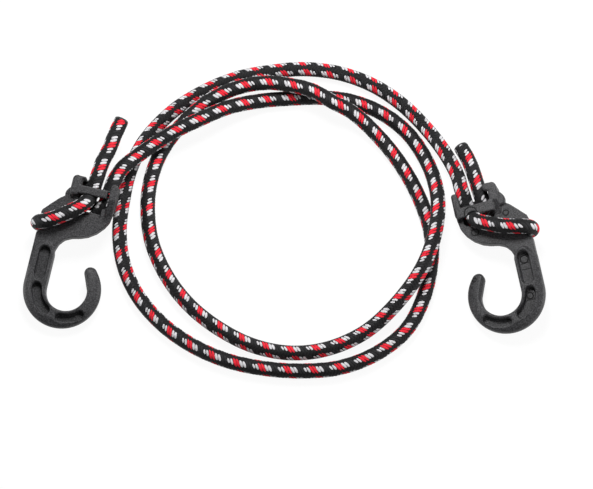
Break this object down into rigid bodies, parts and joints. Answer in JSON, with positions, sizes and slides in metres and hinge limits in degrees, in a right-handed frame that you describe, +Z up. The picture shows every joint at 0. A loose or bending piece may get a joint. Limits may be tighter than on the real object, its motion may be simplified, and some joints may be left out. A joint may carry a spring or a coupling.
{
  "type": "bungee cord",
  "caption": "Elastic cord with a braided sheath over a rubber core, lying in loops, threaded at each end through a moulded plastic hook with a slotted head.",
  "frame": {"origin": "on the floor, below the middle of the box round the two hooks", "axes": "+Z up from the floor, +X from the left hook to the right hook, +Y away from the hook bends towards the hook heads"},
  "size_m": [0.2793, 0.1817, 0.027],
  "materials": {
    "hook_plastic": "fine spark-textured dark grey plastic",
    "braid": "braided synthetic yarn, black with red and white",
    "rubber_core": "bundle of natural rubber strands",
    "sealed_yarn": "yarn melted together at the cut"
  },
  "bodies": {
    "loops": {"loops_sheath": "braid", "loops_core": "rubber_core"},
    "left_lead": {"left_lead_sheath": "braid", "left_lead_core": "rubber_core"},
    "left_end": {"left_hook": "hook_plastic", "left_wrap_sheath": "braid", "left_wrap_core": "rubber_core", "left_sealed_end": "sealed_yarn"},
    "right_lead": {"right_lead_sheath": "braid", "right_lead_core": "rubber_core"},
    "right_end": {"right_hook": "hook_plastic", "right_wrap_sheath": "braid", "right_wrap_core": "rubber_core", "right_sealed_end": "sealed_yarn"}
  },
  "joints": [
    {"name": "left_swing", "type": "hinge", "parent": "loops", "child": "left_lead", "pos_m": [-0.046, 0.0766, 0.0131], "axis": [0, 0, 1], "range_deg": [-15, 5], "deforming": ["left_lead_sheath", "left_lead_core"]},
    {"name": "left_stretch", "type": "slide", "parent": "left_lead", "child": "left_end", "axis": [-0.7818, -0.6235, 0], "range_m": [0, 0.05], "stiffness_N_per_m": 1760, "deforming": ["left_lead_sheath", "left_lead_core"]},
    {"name": "right_swing", "type": "hinge", "parent": "loops", "child": "right_lead", "pos_m": [0.063, 0.09, 0.0043], "axis": [0, 0, 1], "range_deg": [-2, 15], "deforming": ["right_lead_sheath", "right_lead_core"]},
    {"name": "right_stretch", "type": "slide", "parent": "right_lead", "child": "right_end", "axis": [0.5239, -0.8518, 0], "range_m": [0, 0.05], "stiffness_N_per_m": 1760, "deforming": ["right_lead_sheath", "right_lead_core"]}
  ]
}
